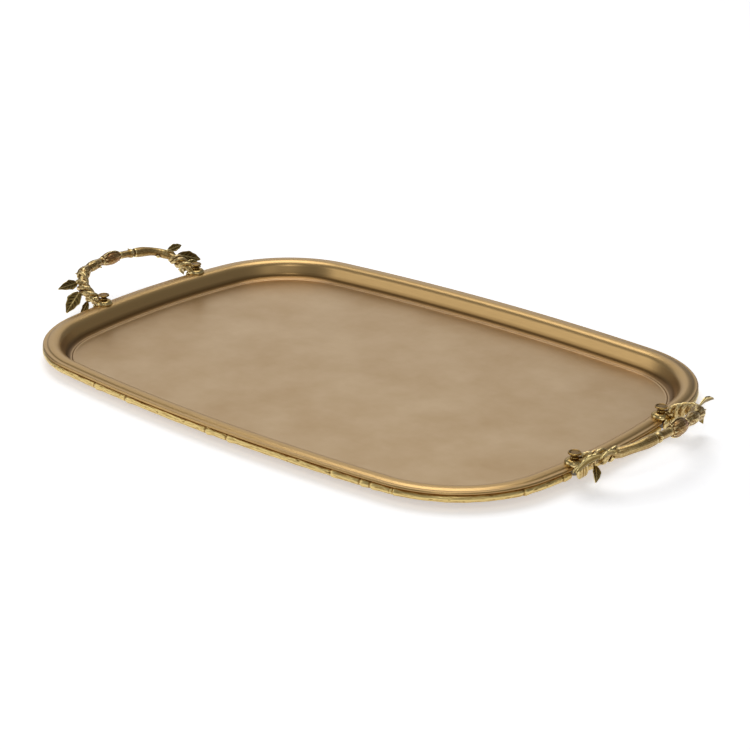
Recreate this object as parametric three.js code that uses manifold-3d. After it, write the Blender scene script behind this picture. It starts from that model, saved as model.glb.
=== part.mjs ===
// Brass serving tray with branch-and-leaf handles. Units are millimetres, +Z is up, and the
// origin is the centre of the underside, on the surface that the tray stands on. +X runs along
// the length, from handle to handle. The tray and its handles look the same after half a turn
// about Z, so both handles come from one function and the second one is turned by 180 degrees.

import * as THREE from 'three';
import { mergeVertices } from 'three/addons/utils/BufferGeometryUtils.js';
import Module from 'manifold-3d';

const wasm = await Module();
wasm.setup();

// ---- Driving dimensions -------------------------------------------------------------------

// Plan of the pressed pan: four bowed sides joined by four corner arcs, all tangent.
const bodyLength = 520;
const bodyWidth = 360;
const cornerRadius = 94;
const longSideRadius = 1650;
const shortSideRadius = 592;

// Section of the pan, from the flat floor out to the sheet's edge.
const sheet = 1.2;            // thickness of the brass sheet
const rimWidth = 23.4;        // floor crease to outer edge
const rimRise = 14.8;         // floor to the crown of the flange
const crownInset = 8;         // crown to outer edge
const edgeDrop = 2;           // crown down to the outer edge
const innerCrownRadius = 8;   // flange rolling over into the wall
const wallAngle = 68;         // steepest part of the wall, degrees
const creaseAngle = 8;        // slope at which the cove leaves the floor, degrees

// Twig border soldered under the flange's edge.
const twigRadius = 2.6;
const twigProud = 0.6;        // how far the twig stands out past the sheet's edge
const knuckleSwell = 0.4;     // extra radius at a twig's knuckles
const jointPastCorner = 8;    // twig joint, measured past the start of the corner arc

// Handles: where they stand and how far they reach.
const footHalfSpan = 56;      // foot centres either side of the middle
const footShift = -2.7;       // both feet off the middle, so each handle sits a little askew
const footInset = 4.4;        // foot centres in from the outer edge
const gripReach = 48;         // foot line to the top of the arch, along the arch's plane
const gripTilt = 23;          // arch's plane above the horizontal, degrees
const gripRadius = 3.9;       // plain branch
const vineCoreRadius = 2.4;   // branch under the wound vines
const gripEndRadius = 2.9;    // branch where it meets the foot
const podRadius = 5.6;
const podLength = 20;
const vineRadius = 1.3;
const vineStart = 9;          // vines begin this far along the branch from either foot
const vineReach = 46;         // length of thin branch under the vines at the +Y end
const shortVineReach = 34;    // and at the -Y end
const vineMargin = 7;         // vine's far end short of where the branch swells
const branchSwell = 6;        // length over which the branch grows back to its full radius
const podStart = 76;          // pod's near end, along the arch from the +Y foot
const leafThickness = 1.1;

// Leaves of one handle: the spray at its +Y end and the one at its -Y end. Each root stands
// just off the wound vines.
const leaves = {
  leaf_long: { at: 30, step: [7, 3, 1], reach: [19, -1, 0], width: 9, facing: [1, -2, 3], cup: 1.2 },
  leaf_broad: { at: 21, step: [7, 1, -2], reach: [13, -5, -14], width: 12, facing: [2, -1, 2], cup: 1.5 },
  leaf_curled: { at: 11, step: [4, 0, -6], reach: [9, -5, -7], width: 6, facing: [1, -2, 2], cup: 1.2 },
  leaf_spear: { at: -22, step: [-7, 3, 2], reach: [-19, -11, -5], width: 10, facing: [2, -2, 3], cup: 1.4 },
  leaf_small: { at: -32, step: [-6, 3, 2], reach: [-15, -1, 1], width: 7, facing: [0, -2, 3], cup: 1 },
  leaf_petal: { at: -14, step: [-8, -1, -2], reach: [-10, -7, -2], width: 8, facing: [1, 0, 2], cup: 1.2 },
  leaf_hanging: { at: -13, step: [-3, 1, -7], reach: [-5, 1, -9], width: 7, facing: [0, 2, 1], cup: 1 },
};

// Feet and their hidden fixings.
const bossRadius = 7.5;
const bossHalfHeight = 4;
const bossLift = 0.9;         // boss centre above the flange's crown
const lugHalfWidth = 6.6;
const lugDepth = 3.4;         // lug's thickness outward
const studRadius = 2;
const capRadius = 5.1;
const capThickness = 1.9;
const neckRadius = 2.9;
const neckHeight = 1.7;
const saddleRadius = 3.3;
const saddleThickness = 1.5;
const nutAcross = 7;
const nutThickness = 3.2;
const studTail = 1.2;         // stud showing below its nut

// Clearances.
const gap = 0.3;              // between pieces that touch
const pi = Math.PI;
const radians = THREE.MathUtils.degToRad;

// ---- Materials ----------------------------------------------------------------------------

function brass(color, roughness) {
  return new THREE.MeshStandardMaterial({ color, roughness, metalness: 1 });
}

const finish = {
  pan: brass(0xb89a6c, 0.42),
  border: brass(0xa98d55, 0.38),
  branch: brass(0x8f7448, 0.4),
  pod: brass(0x8a6246, 0.42),
  vine: brass(0xa08454, 0.36),
  leaf: brass(0x7d683c, 0.4),
  boss: brass(0xa88c50, 0.32),
  stud: brass(0xb49a62, 0.28),
  fixing: new THREE.MeshStandardMaterial({ color: 0x9a9a94, roughness: 0.45, metalness: 1 }),
};

// ---- Solids -------------------------------------------------------------------------------

// A merged, closed three.js geometry as a manifold solid.
function solid(geometry) {
  const bare = geometry.clone();
  bare.deleteAttribute('normal');
  bare.deleteAttribute('uv');
  const merged = mergeVertices(bare, 1e-4);
  return new wasm.Manifold(new wasm.Mesh({
    numProp: 3,
    vertProperties: new Float32Array(merged.attributes.position.array),
    triVerts: new Uint32Array(merged.index.array),
  }));
}

// A manifold solid back as a three.js geometry.
function geometryOf(manifold) {
  const mesh = manifold.getMesh();
  const geometry = new THREE.BufferGeometry();
  geometry.setAttribute('position', new THREE.BufferAttribute(mesh.vertProperties, 3));
  geometry.setIndex(new THREE.BufferAttribute(mesh.triVerts, 1));
  return geometry;
}

// A closed skin through rings of equal point count, with a centre point closing each end.
function skin(rings, startPoint, endPoint) {
  const count = rings[0].length;
  const positions = [];
  const triangles = [];
  for (const ring of rings) for (const p of ring) positions.push(p.x, p.y, p.z);
  for (let r = 0; r < rings.length - 1; r++) {
    for (let i = 0; i < count; i++) {
      const a = r * count + i;
      const b = r * count + (i + 1) % count;
      triangles.push(a, b, a + count, b, b + count, a + count);
    }
  }
  const first = rings.length * count;
  positions.push(startPoint.x, startPoint.y, startPoint.z, endPoint.x, endPoint.y, endPoint.z);
  for (let i = 0; i < count; i++) {
    const next = (i + 1) % count;
    triangles.push(first, next, i);
    triangles.push(first + 1, first - count + i, first - count + next);
  }
  const geometry = new THREE.BufferGeometry();
  geometry.setAttribute('position', new THREE.Float32BufferAttribute(positions, 3));
  geometry.setIndex(triangles);
  return geometry;
}

// ---- Plan outline -------------------------------------------------------------------------

// Quarter of the plan, from the middle of the +Y side to the middle of the +X side, as three
// tangent arcs. The corner arc's centre lies where it touches both side arcs from inside.
function quarterArcs() {
  const longCentre = new THREE.Vector2(0, bodyWidth / 2 - longSideRadius);
  const shortCentre = new THREE.Vector2(bodyLength / 2 - shortSideRadius, 0);
  const fromLong = longSideRadius - cornerRadius;
  const fromShort = shortSideRadius - cornerRadius;
  const between = shortCentre.clone().sub(longCentre);
  const span = between.length();
  const along = (fromLong ** 2 - fromShort ** 2 + span ** 2) / (2 * span);
  const across = Math.sqrt(fromLong ** 2 - along ** 2);
  const unit = between.clone().divideScalar(span);
  const cornerCentre = longCentre.clone()
    .addScaledVector(unit, along)
    .add(new THREE.Vector2(unit.y, -unit.x).multiplyScalar(across));
  const longEnd = cornerCentre.clone().sub(longCentre).angle();
  const shortEnd = cornerCentre.clone().sub(shortCentre).angle();
  return [
    { centre: longCentre, radius: longSideRadius, from: pi / 2, to: longEnd },
    { centre: cornerCentre, radius: cornerRadius, from: longEnd, to: shortEnd },
    { centre: shortCentre, radius: shortSideRadius, from: shortEnd, to: 0 },
  ];
}

const arcs = quarterArcs();
const arcLengths = arcs.map((arc) => arc.radius * (arc.from - arc.to));
const quarterLength = arcLengths[0] + arcLengths[1] + arcLengths[2];

// Point at a distance along the quarter's outer edge, moved in by an inset.
function quarterPoint(distance, inset) {
  let rest = distance;
  let index = 0;
  while (index < 2 && rest > arcLengths[index]) {
    rest -= arcLengths[index];
    index += 1;
  }
  const arc = arcs[index];
  const angle = arc.from - rest / arc.radius;
  const radius = arc.radius - inset;
  return new THREE.Vector2(
    arc.centre.x + radius * Math.cos(angle),
    arc.centre.y + radius * Math.sin(angle),
  );
}

// Point at a distance round the whole edge, clockwise from the middle of the +Y side.
function loopPoint(distance, inset) {
  const whole = 4 * quarterLength;
  const wrapped = ((distance % whole) + whole) % whole;
  const quarter = Math.min(3, Math.floor(wrapped / quarterLength));
  const rest = wrapped - quarter * quarterLength;
  const mirrored = quarter % 2 === 1;
  const p = quarterPoint(mirrored ? quarterLength - rest : rest, inset);
  if (quarter === 1 || quarter === 2) p.y = -p.y;
  if (quarter === 2 || quarter === 3) p.x = -p.x;
  return p;
}

// Distances round the edge of the pan's ring points: few on the sides, more on the corners.
function ringStations() {
  const steps = [5, 8, 4];
  const quarter = [];
  let start = 0;
  steps.forEach((count, index) => {
    for (let i = 0; i < count; i++) quarter.push(start + arcLengths[index] * i / count);
    start += arcLengths[index];
  });
  const mirrored = [0, ...quarter.slice(1).map((d) => quarterLength - d).reverse()];
  return [0, 1, 2, 3].flatMap((q) => (
    (q % 2 ? mirrored : quarter).map((d) => q * quarterLength + d)
  ));
}

const stations = ringStations();

function ringAt(inset, z) {
  return stations.map((distance) => {
    const p = loopPoint(distance, inset);
    return new THREE.Vector3(p.x, p.y, z);
  });
}

// ---- Rim section --------------------------------------------------------------------------

// The wall between the two bends: its straight length and the cove's radius follow from the
// rim's width and rise.
function solveWall() {
  const wall = radians(wallAngle);
  const crease = radians(creaseAngle);
  const width = rimWidth - crownInset - innerCrownRadius * Math.sin(wall);
  const rise = rimRise - innerCrownRadius * (1 - Math.cos(wall));
  const coveAcross = Math.sin(wall) - Math.sin(crease);
  const coveUp = Math.cos(crease) - Math.cos(wall);
  const det = Math.cos(wall) * coveUp - Math.sin(wall) * coveAcross;
  return {
    straight: (width * coveUp - rise * coveAcross) / det,
    coveRadius: (rise * Math.cos(wall) - width * Math.sin(wall)) / det,
  };
}

const { coveRadius } = solveWall();
const crownZ = sheet + rimRise;
const outerCrownAngle = 2 * Math.atan(edgeDrop / crownInset);
const outerCrownRadius = crownInset / Math.sin(outerCrownAngle);

// Points of the pan's upper surface from the crease to the edge, moved out of the metal by a
// distance along the surface's own normal, and carried on past the edge by another. Inset is
// measured in from the outer edge.
function rimSection(offset, beyond) {
  const wall = radians(wallAngle);
  const crease = radians(creaseAngle);
  const points = [];
  const add = (inset, z, slope) => points.push({
    inset: inset + offset * Math.sin(slope),
    z: z + offset * Math.cos(slope),
  });
  const coveSteps = 5;
  for (let i = 0; i <= coveSteps; i++) {
    const slope = crease + (wall - crease) * i / coveSteps;
    const inset = rimWidth - coveRadius * (Math.sin(slope) - Math.sin(crease));
    add(inset, sheet + coveRadius * (Math.cos(crease) - Math.cos(slope)), slope);
  }
  const innerSteps = 5;
  for (let i = 0; i < innerSteps; i++) {
    const slope = wall * (1 - i / innerSteps);
    const inset = crownInset + innerCrownRadius * Math.sin(slope);
    add(inset, crownZ - innerCrownRadius * (1 - Math.cos(slope)), slope);
  }
  const outerSteps = 3;
  for (let i = 0; i <= outerSteps; i++) {
    const slope = -outerCrownAngle * i / outerSteps;
    const inset = crownInset + outerCrownRadius * Math.sin(slope);
    add(inset, crownZ - outerCrownRadius * (1 - Math.cos(slope)), slope);
  }
  const edge = points[points.length - 1];
  edge.inset -= beyond * Math.cos(outerCrownAngle);
  edge.z -= beyond * Math.sin(outerCrownAngle);
  return points;
}

// A closed shell between two offsets of the rim section, with a flat floor between two heights.
function panShell(topOffset, bottomOffset, beyond = 0) {
  const top = rimSection(topOffset, beyond);
  const bottom = rimSection(bottomOffset, beyond).reverse();
  const topFloor = sheet + topOffset;
  const bottomFloor = sheet + bottomOffset;
  top[0].z = topFloor;
  bottom[bottom.length - 1].z = bottomFloor;
  const rings = [...top, ...bottom].map(({ inset, z }) => ringAt(inset, z));
  const topCentre = new THREE.Vector3(0, 0, topFloor);
  const bottomCentre = new THREE.Vector3(0, 0, bottomFloor);
  return skin(rings, topCentre, bottomCentre);
}

// ---- Places of the feet -------------------------------------------------------------------

const footX = quarterPoint(quarterLength - footHalfSpan, 0).x - footInset;
const footPlaces = { a: footShift + footHalfSpan, b: footShift - footHalfSpan };
const bossZ = crownZ + bossLift;
const holeRadius = studRadius + gap;

function verticalCylinder(radius, bottom, top, sides) {
  const geometry = new THREE.CylinderGeometry(radius, radius, top - bottom, sides);
  geometry.rotateX(pi / 2);
  geometry.translate(0, 0, (top + bottom) / 2);
  return geometry;
}

// ---- Pan ----------------------------------------------------------------------------------

function makePan() {
  let pan = solid(panShell(0, -sheet));
  for (const turn of [1, -1]) {
    for (const y of Object.values(footPlaces)) {
      const drill = verticalCylinder(holeRadius, sheet * 2, crownZ + sheet, 12);
      pan = pan.subtract(solid(drill.translate(turn * footX, turn * y, 0)));
    }
  }
  return geometryOf(pan);
}

// ---- Twig border --------------------------------------------------------------------------

const edgeZ = crownZ - edgeDrop;
const twigZ = edgeZ - sheet - gap - twigRadius - knuckleSwell;

// A round bar along the pan's edge, between two distances round it, swollen at its two ends
// where it meets the next length.
function twig(from, to) {
  const steps = Math.max(6, Math.round((to - from) / 24));
  const inset = twigRadius - twigProud;
  const sides = 8;
  const knuckle = 4;
  const distances = [from, from + knuckle];
  for (let i = 1; i < steps; i++) distances.push(from + (to - from) * i / steps);
  distances.push(to - knuckle, to);
  const rings = distances.map((distance, index) => {
    const centre = loopPoint(distance, inset);
    const ahead = loopPoint(distance + 0.5, inset).sub(loopPoint(distance - 0.5, inset));
    const outward = new THREE.Vector2(-ahead.y, ahead.x).normalize();
    const atEnd = index === 0 || index === distances.length - 1;
    const radius = twigRadius + (atEnd ? knuckleSwell : 0);
    const ring = [];
    for (let i = 0; i < sides; i++) {
      const angle = 2 * pi * i / sides;
      const side = radius * Math.cos(angle);
      ring.push(new THREE.Vector3(
        centre.x + outward.x * side,
        centre.y + outward.y * side,
        twigZ + radius * Math.sin(angle),
      ));
    }
    return ring;
  });
  const middle = (ring) => ring.reduce((sum, p) => sum.add(p), new THREE.Vector3())
    .divideScalar(ring.length);
  return skin(rings, middle(rings[0]), middle(rings[rings.length - 1]));
}

function addBorder(tray) {
  const joint = arcLengths[0] + jointPastCorner;
  const lug = lugHalfWidth + gap;
  const toFoot = { a: quarterLength - footPlaces.a, b: quarterLength + footPlaces.b };
  const half = gap / 2;
  ['back', 'front'].forEach((side, index) => {
    const start = 2 * quarterLength * index;
    const across = index === 0 ? 'right' : 'left';
    const other = index === 0 ? 'left' : 'right';
    const nextStart = start + 2 * quarterLength;
    const lengths = {
      [`border_${side}`]: [start - joint + half, start + joint - half],
      [`border_corner_${side}_${across}`]: [start + joint + half, start + toFoot.a - lug],
      [`border_corner_${side}_${other}`]: [start - toFoot.b + lug, start - joint - half],
      [`border_${across}`]: [start + toFoot.a + lug, nextStart - toFoot.b - lug],
    };
    for (const [name, ends] of Object.entries(lengths)) {
      tray.add(mesh(name, twig(...ends), 'border'));
    }
  });
}

// ---- Handle -------------------------------------------------------------------------------

// A point of the arch's own frame in the tray's frame, for the handle on +X: u along the edge,
// s out from the line of the feet in the arch's plane, n square to that plane.
function archPoint(u, s, n = 0) {
  const tilt = radians(gripTilt);
  return new THREE.Vector3(
    footX + s * Math.cos(tilt) - n * Math.sin(tilt),
    footShift + u,
    bossZ + s * Math.sin(tilt) + n * Math.cos(tilt),
  );
}

// The arch's centre line as shares of the half span and of the reach. It leans a little
// towards +Y, as a grown branch does.
const archShares = [
  [1.03, 0.03], [1.1, 0.25], [1.03, 0.58], [0.79, 0.87], [0.42, 0.995], [0.01, 1.02],
  [-0.4, 0.955], [-0.69, 0.84], [-0.86, 0.61], [-0.93, 0.32], [-0.96, 0.04],
];
const arch = new THREE.CatmullRomCurve3(
  archShares.map(([u, s]) => archPoint(u * footHalfSpan, s * gripReach)),
);
const archLength = arch.getLength();

// Frames along the arch: its tangent, the direction square to its plane, and the one in it.
function archFrame(distance) {
  const share = THREE.MathUtils.clamp(distance / archLength, 0, 1);
  const centre = arch.getPointAt(share);
  const along = arch.getTangentAt(share);
  const tilt = radians(gripTilt);
  const up = new THREE.Vector3(-Math.sin(tilt), 0, Math.cos(tilt));
  const out = new THREE.Vector3().crossVectors(along, up).normalize();
  return { centre, out, up };
}

// A bar that follows the arch, with its radius given by the distance along it.
function archBar(from, to, radiusAt, steps, sides) {
  const rings = [];
  for (let k = 0; k <= steps; k++) {
    const distance = from + (to - from) * k / steps;
    const { centre, out, up } = archFrame(distance);
    const radius = radiusAt(distance);
    const ring = [];
    for (let i = 0; i < sides; i++) {
      const angle = 2 * pi * i / sides;
      ring.push(centre.clone()
        .addScaledVector(out, radius * Math.cos(angle))
        .addScaledVector(up, -radius * Math.sin(angle)));
    }
    rings.push(ring);
  }
  return skin(rings, archFrame(from).centre, archFrame(to).centre);
}

// A vine wound round the branch, given by its radius from the arch's line and its turns.
function vine(from, to, turns, startAngle) {
  const stepsPerTurn = 9;
  const steps = Math.round(turns * stepsPerTurn);
  const sides = 6;
  const wound = (vineCoreRadius + gap + vineRadius) / Math.cos(pi / stepsPerTurn);
  const points = [];
  for (let k = 0; k <= steps; k++) {
    const { centre, out, up } = archFrame(from + (to - from) * k / steps);
    const angle = startAngle + 2 * pi * turns * k / steps;
    points.push({
      centre: centre.clone()
        .addScaledVector(out, wound * Math.cos(angle))
        .addScaledVector(up, wound * Math.sin(angle)),
      axis: centre,
    });
  }
  const rings = points.map(({ centre, axis }, k) => {
    const before = points[Math.max(0, k - 1)].centre;
    const after = points[Math.min(steps, k + 1)].centre;
    const along = after.clone().sub(before).normalize();
    const away = centre.clone().sub(axis);
    away.addScaledVector(along, -away.dot(along)).normalize();
    const side = new THREE.Vector3().crossVectors(along, away);
    const taper = 0.7 + 0.3 * Math.sin(pi * (k + 0.5) / (steps + 1));
    const ring = [];
    for (let i = 0; i < sides; i++) {
      const angle = 2 * pi * i / sides;
      ring.push(centre.clone()
        .addScaledVector(away, vineRadius * taper * Math.cos(angle))
        .addScaledVector(side, vineRadius * taper * Math.sin(angle)));
    }
    return ring;
  });
  return skin(rings, points[0].centre, points[steps].centre);
}

// A pointed, hollowed leaf. It grows from the arch at a distance from the +Y end, or from the
// -Y end where the distance is negative. Its root is a step away from the arch's line and its
// tip a further reach away, both in the arch's own directions, and its face looks to one side.
function leaf({ at, step, reach, width, facing, cup }) {
  const stem = arch.getPointAt((at > 0 ? at : archLength + at) / archLength);
  const shift = (u, s, n) => archPoint(u, s, n).sub(archPoint(0, 0, 0));
  const start = stem.add(shift(...step));
  const end = start.clone().add(shift(...reach));
  const along = end.clone().sub(start);
  const length = along.length();
  along.normalize();
  const face = shift(...facing);
  face.addScaledVector(along, -face.dot(along)).normalize();
  const side = new THREE.Vector3().crossVectors(along, face);
  const steps = 7;
  const half = leafThickness / 2;
  const rings = [];
  for (let k = 0; k <= steps; k++) {
    const share = k / steps;
    const shape = Math.sin(pi * Math.min(1, 0.12 + 0.86 * share) ** 0.8);
    const halfWidth = Math.max(0.7, width / 2 * shape);
    const arched = cup * Math.sin(pi * share);
    const centre = start.clone().addScaledVector(along, share * length)
      .addScaledVector(face, arched);
    const corners = [
      [-1, half, cup * 0.5], [0, half, 0], [1, half, cup * 0.5],
      [1, -half, cup * 0.5], [0, -half, 0], [-1, -half, cup * 0.5],
    ];
    rings.push(corners.map(([across, lift, rise]) => centre.clone()
      .addScaledVector(side, across * halfWidth)
      .addScaledVector(face, lift + rise * Math.abs(across) * shape)));
  }
  const mid = (ring) => ring[1].clone().add(ring[4]).multiplyScalar(0.5);
  return skin(rings, mid(rings[0]), mid(rings[steps]));
}

// The ball of a foot, flattened along its height.
function flatBall(radius, halfHeight) {
  const geometry = new THREE.SphereGeometry(1, 14, 8);
  geometry.rotateX(pi / 2);
  geometry.scale(radius, radius, halfHeight);
  return geometry;
}

// The lug that hangs from the ball down outside the pan's edge and over the border.
function lugShape(extra) {
  const lugTop = bossZ;
  const lugBottom = twigZ - twigRadius - knuckleSwell;
  const geometry = new THREE.SphereGeometry(1, 12, 8);
  geometry.rotateX(pi / 2);
  geometry.scale(lugDepth + extra, lugHalfWidth + extra, (lugTop - lugBottom) / 2 + extra);
  geometry.translate(footInset + lugDepth / 2, 0, (lugTop + lugBottom) / 2);
  return geometry;
}

function bossShape(extra) {
  const ball = flatBall(bossRadius + extra, bossHalfHeight + extra).translate(0, 0, bossZ);
  return solid(ball).add(solid(lugShape(extra)));
}

// The pan's flange with a clearance all round.
const panClear = solid(panShell(gap, -sheet - gap, gap));

// A foot: ball and lug, cut to sit on the flange and bored for its stud.
function makeBoss(y) {
  const bore = solid(verticalCylinder(holeRadius, 0, bossZ + 2 * bossHalfHeight, 12));
  const rimHere = solid(geometryOf(panClear).translate(-footX, -y, 0));
  const under = solid(new THREE.BoxGeometry(4 * bossRadius, 4 * bossRadius, crownZ)
    .translate(-2 * bossRadius + footInset - gap, 0, crownZ / 2 - sheet));
  return geometryOf(bossShape(0).subtract(bore).subtract(rimHere).subtract(under));
}

// Everything of a foot that the branch, vines and leaves have to stay off.
function footClearance() {
  let clear = null;
  for (const y of Object.values(footPlaces)) {
    const cap = solid(verticalCylinder(capRadius + gap, bossZ, studTop + gap, 16));
    const foot = geometryOf(bossShape(gap).add(cap)).translate(footX, y, 0);
    clear = clear ? clear.add(solid(foot)) : solid(foot);
  }
  return clear;
}

// Stud: a flat cap on a waisted neck, a shank down through boss and flange, and a plain tail.
const studTop = bossZ + bossHalfHeight + gap + neckHeight + capThickness;
const saddleTop = crownZ - sheet - gap;
const saddleBottom = crownZ - edgeDrop - sheet - saddleThickness;
const nutTop = saddleBottom - gap;
const studBottom = nutTop - nutThickness - studTail;

function makeStud() {
  const bevel = capThickness / 3;
  const seat = bossZ + bossHalfHeight + gap;
  const waist = neckRadius * 0.72;
  const profile = [
    [0, studBottom], [studRadius, studBottom], [studRadius, seat], [neckRadius, seat],
    [waist, seat + neckHeight / 2], [neckRadius, seat + neckHeight],
    [capRadius - bevel, seat + neckHeight], [capRadius, seat + neckHeight + bevel],
    [capRadius, studTop - bevel], [capRadius - bevel, studTop], [0, studTop],
  ].map(([x, y]) => new THREE.Vector2(x, y));
  return new THREE.LatheGeometry(profile, 14).rotateX(pi / 2);
}

function ringGeometry(inner, outer, bottom, top, sides) {
  const profile = [
    [inner, bottom], [outer, bottom], [outer, top], [inner, top], [inner, bottom],
  ].map(([x, y]) => new THREE.Vector2(x, y));
  return new THREE.LatheGeometry(profile, sides).rotateX(pi / 2);
}

// Washer that fills the hollow under the flange, so that the nut has a flat face to bear on.
function makeSaddle(y) {
  const blank = solid(ringGeometry(holeRadius, saddleRadius, saddleBottom, saddleTop, 16));
  const rimHere = solid(geometryOf(panClear).translate(-footX, -y, 0));
  return geometryOf(blank.subtract(rimHere));
}

function makeNut() {
  const outline = new THREE.Shape();
  const corner = nutAcross / 2 / Math.cos(pi / 6);
  for (let i = 0; i < 6; i++) {
    const angle = pi / 3 * i + pi / 6;
    outline.lineTo(corner * Math.cos(angle), corner * Math.sin(angle));
  }
  outline.curves.shift();
  outline.closePath();
  const hole = new THREE.Path().absarc(0, 0, holeRadius, 0, 2 * pi, true);
  outline.holes.push(hole);
  return new THREE.ExtrudeGeometry(outline, {
    depth: nutThickness, bevelEnabled: false, curveSegments: 6,
  }).translate(0, 0, nutTop - nutThickness);
}

function branchRadius(distance) {
  const fromEnd = Math.min(distance, archLength - distance);
  const reach = distance < archLength / 2 ? vineReach : shortVineReach;
  if (fromEnd < 3) return gripEndRadius;
  if (fromEnd < reach) return vineCoreRadius;
  const swell = THREE.MathUtils.smoothstep(fromEnd, reach, reach + branchSwell);
  return THREE.MathUtils.lerp(vineCoreRadius, gripRadius, swell);
}

function makeHandle(side) {
  const handle = new THREE.Group();
  const clear = footClearance();
  const offFeet = (geometry) => geometryOf(solid(geometry).subtract(clear));
  const podEnd = podStart + podLength;

  const longBranch = archBar(0, podStart - gap, branchRadius, 16, 10);
  const shortBranch = archBar(podEnd + gap, archLength, branchRadius, 20, 10);
  const podAt = (d) => gripRadius
    + (podRadius - gripRadius) * Math.sin(pi * (d - podStart) / podLength) ** 0.7;
  handle.add(mesh(`branch_long_${side}`, offFeet(longBranch), 'branch'));
  handle.add(mesh(`branch_short_${side}`, offFeet(shortBranch), 'branch'));
  handle.add(mesh(`seed_pod_${side}`, archBar(podStart, podEnd, podAt, 7, 12), 'pod'));
  handle.add(mesh(`vine_long_${side}`, vine(vineStart, vineReach - vineMargin, 2.5, 0), 'vine'));
  handle.add(mesh(`vine_short_${side}`,
    vine(archLength - shortVineReach + vineMargin, archLength - vineStart, 2, pi), 'vine'));
  for (const [name, shape] of Object.entries(leaves)) {
    handle.add(mesh(`${name}_${side}`, leaf(shape), 'leaf'));
  }
  for (const [end, y] of Object.entries(footPlaces)) {
    const foot = new THREE.Group();
    foot.position.set(footX, y, 0);
    foot.add(mesh(`foot_boss_${side}_${end}`, makeBoss(y), 'boss'));
    foot.add(mesh(`cap_stud_${side}_${end}`, makeStud(), 'stud'));
    foot.add(mesh(`saddle_washer_${side}_${end}`, makeSaddle(y), 'fixing'));
    foot.add(mesh(`nut_${side}_${end}`, makeNut(), 'fixing'));
    handle.add(foot);
  }
  return handle;
}

// ---- The tray -----------------------------------------------------------------------------

function mesh(name, geometry, slot) {
  const piece = new THREE.Mesh(geometry, finish[slot]);
  piece.name = name;
  return piece;
}

const tray = new THREE.Group();
tray.add(mesh('tray_pan', makePan(), 'pan'));
addBorder(tray);
const rightHandle = makeHandle('right');
const leftHandle = makeHandle('left');
leftHandle.rotation.z = pi;
tray.add(rightHandle, leftHandle);

export default tray;
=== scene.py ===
"""Looks of a brass serving tray: pressed pan, cast twig border and cast branch handles.

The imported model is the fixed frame. Fine meshes stand for its pieces, in the same places, and
every piece gets a procedural finish. Sizes in the classes are millimetres; meshes are metres.
"""

import logging
import math
from dataclasses import dataclass, field
from enum import Enum
from typing import Callable

import bmesh
import bpy
import numpy as np
from mathutils import Matrix, Vector, noise


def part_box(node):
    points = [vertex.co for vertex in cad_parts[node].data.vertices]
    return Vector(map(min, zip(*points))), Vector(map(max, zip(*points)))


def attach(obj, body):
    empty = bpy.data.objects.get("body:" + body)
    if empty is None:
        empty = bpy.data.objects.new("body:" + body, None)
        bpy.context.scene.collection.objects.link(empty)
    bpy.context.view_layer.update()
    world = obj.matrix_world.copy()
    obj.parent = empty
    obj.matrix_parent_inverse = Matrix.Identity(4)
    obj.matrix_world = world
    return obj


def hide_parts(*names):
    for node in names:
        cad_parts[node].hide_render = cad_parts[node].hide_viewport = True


LOG = logging.getLogger("tray")
MM = 0.001
ROOT = "root"
THIRD_TURN = 2 * math.pi / 3
HOLLOW = "hollow"
Socket = bpy.types.NodeSocket


class Slot(Enum):
    """Material slots of the record."""

    PAN = "pan"
    BORDER = "border"
    BRANCH = "branch"
    POD = "pod"
    VINE = "vine"
    LEAF = "leaf"
    BOSS = "boss"
    STUD = "stud"
    FIXING = "fixing"


class Side(Enum):
    """The two ends of the tray, with the turn about Z that carries the right handle there."""

    RIGHT = ("right", 0.0)
    LEFT = ("left", math.pi)

    @property
    def word(self) -> str:
        """Name of the side in the nodes' names."""
        return self.value[0]

    @property
    def turn(self) -> float:
        """Turn about Z, in radians."""
        return self.value[1]


# ---- Colour and nodes ---------------------------------------------------------------------


def linear(code: str) -> tuple[float, float, float, float]:
    """Turns an sRGB hex code into a linear colour.

    Args:
        code: six hex digits, such as "b08d57".

    Returns:
        Linear red, green, blue and an alpha of 1.
    """
    parts = [int(code[i:i + 2], 16) / 255 for i in (0, 2, 4)]
    red, green, blue = (c / 12.92 if c <= 0.04045 else ((c + 0.055) / 1.055) ** 2.4 for c in parts)
    return red, green, blue, 1.0


def add_node(tree: bpy.types.NodeTree, kind: str, settings: dict | None = None,
             links: dict | None = None) -> bpy.types.Node:
    """Adds a node with its settings and its incoming links.

    Args:
        tree: node tree that gets the node.
        kind: node type's name.
        settings: values by input name or number, or by property name.
        links: source sockets by input name or number.

    Returns:
        The new node.
    """
    node = tree.nodes.new(kind)
    for key, value in (settings or {}).items():
        if isinstance(key, int) or key in node.inputs:
            node.inputs[key].default_value = value
        else:
            setattr(node, key, value)
    for key, source in (links or {}).items():
        tree.links.new(source, node.inputs[key])
    return node


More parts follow.
